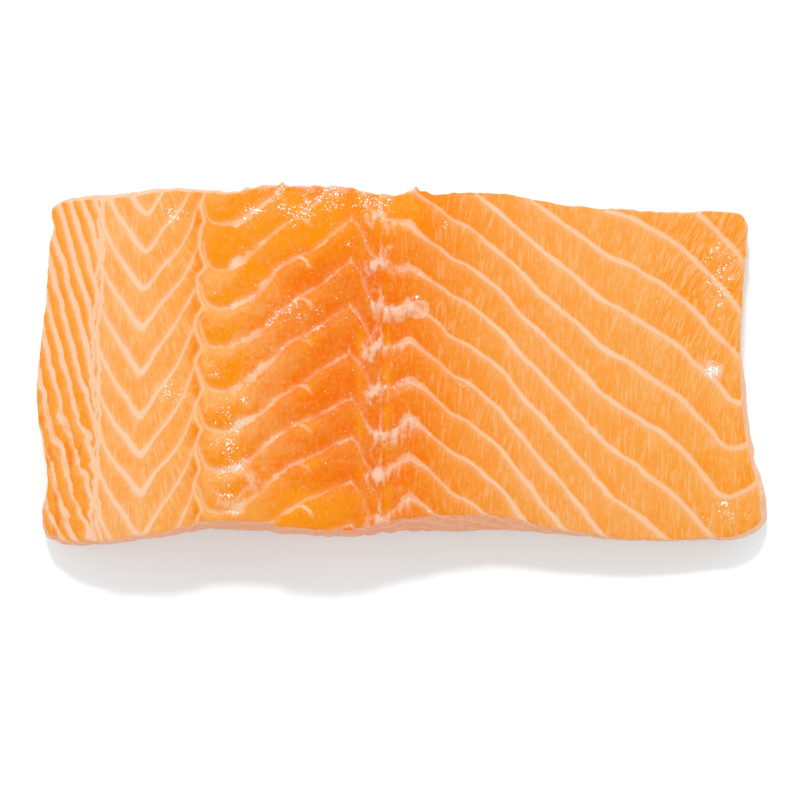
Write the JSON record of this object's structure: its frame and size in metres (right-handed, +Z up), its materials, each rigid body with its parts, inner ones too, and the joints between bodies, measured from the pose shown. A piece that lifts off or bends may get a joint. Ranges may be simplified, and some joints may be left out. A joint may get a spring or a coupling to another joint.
{
  "type": "raw salmon fillet",
  "caption": "Raw skinless salmon fillet portion, a flat-bottomed block with chevron fat lines, ridged along the backbone side and tapering to the belly.",
  "frame": {"origin": "centre of the fillet's bounding box on the plane that it rests on", "axes": "+X across the side of the fish, from the edge of the back to the belly, +Y along the fish, +Z up from the skin side to the side that came off the backbone"},
  "size_m": [0.175, 0.0858, 0.0309],
  "materials": {
    "flesh": "moist raw salmon flesh, orange with pale cream septa and fat lines, wet and softly glossy"
  },
  "bodies": {
    "root": {"salmon_fillet": "flesh"}
  },
  "joints": []
}
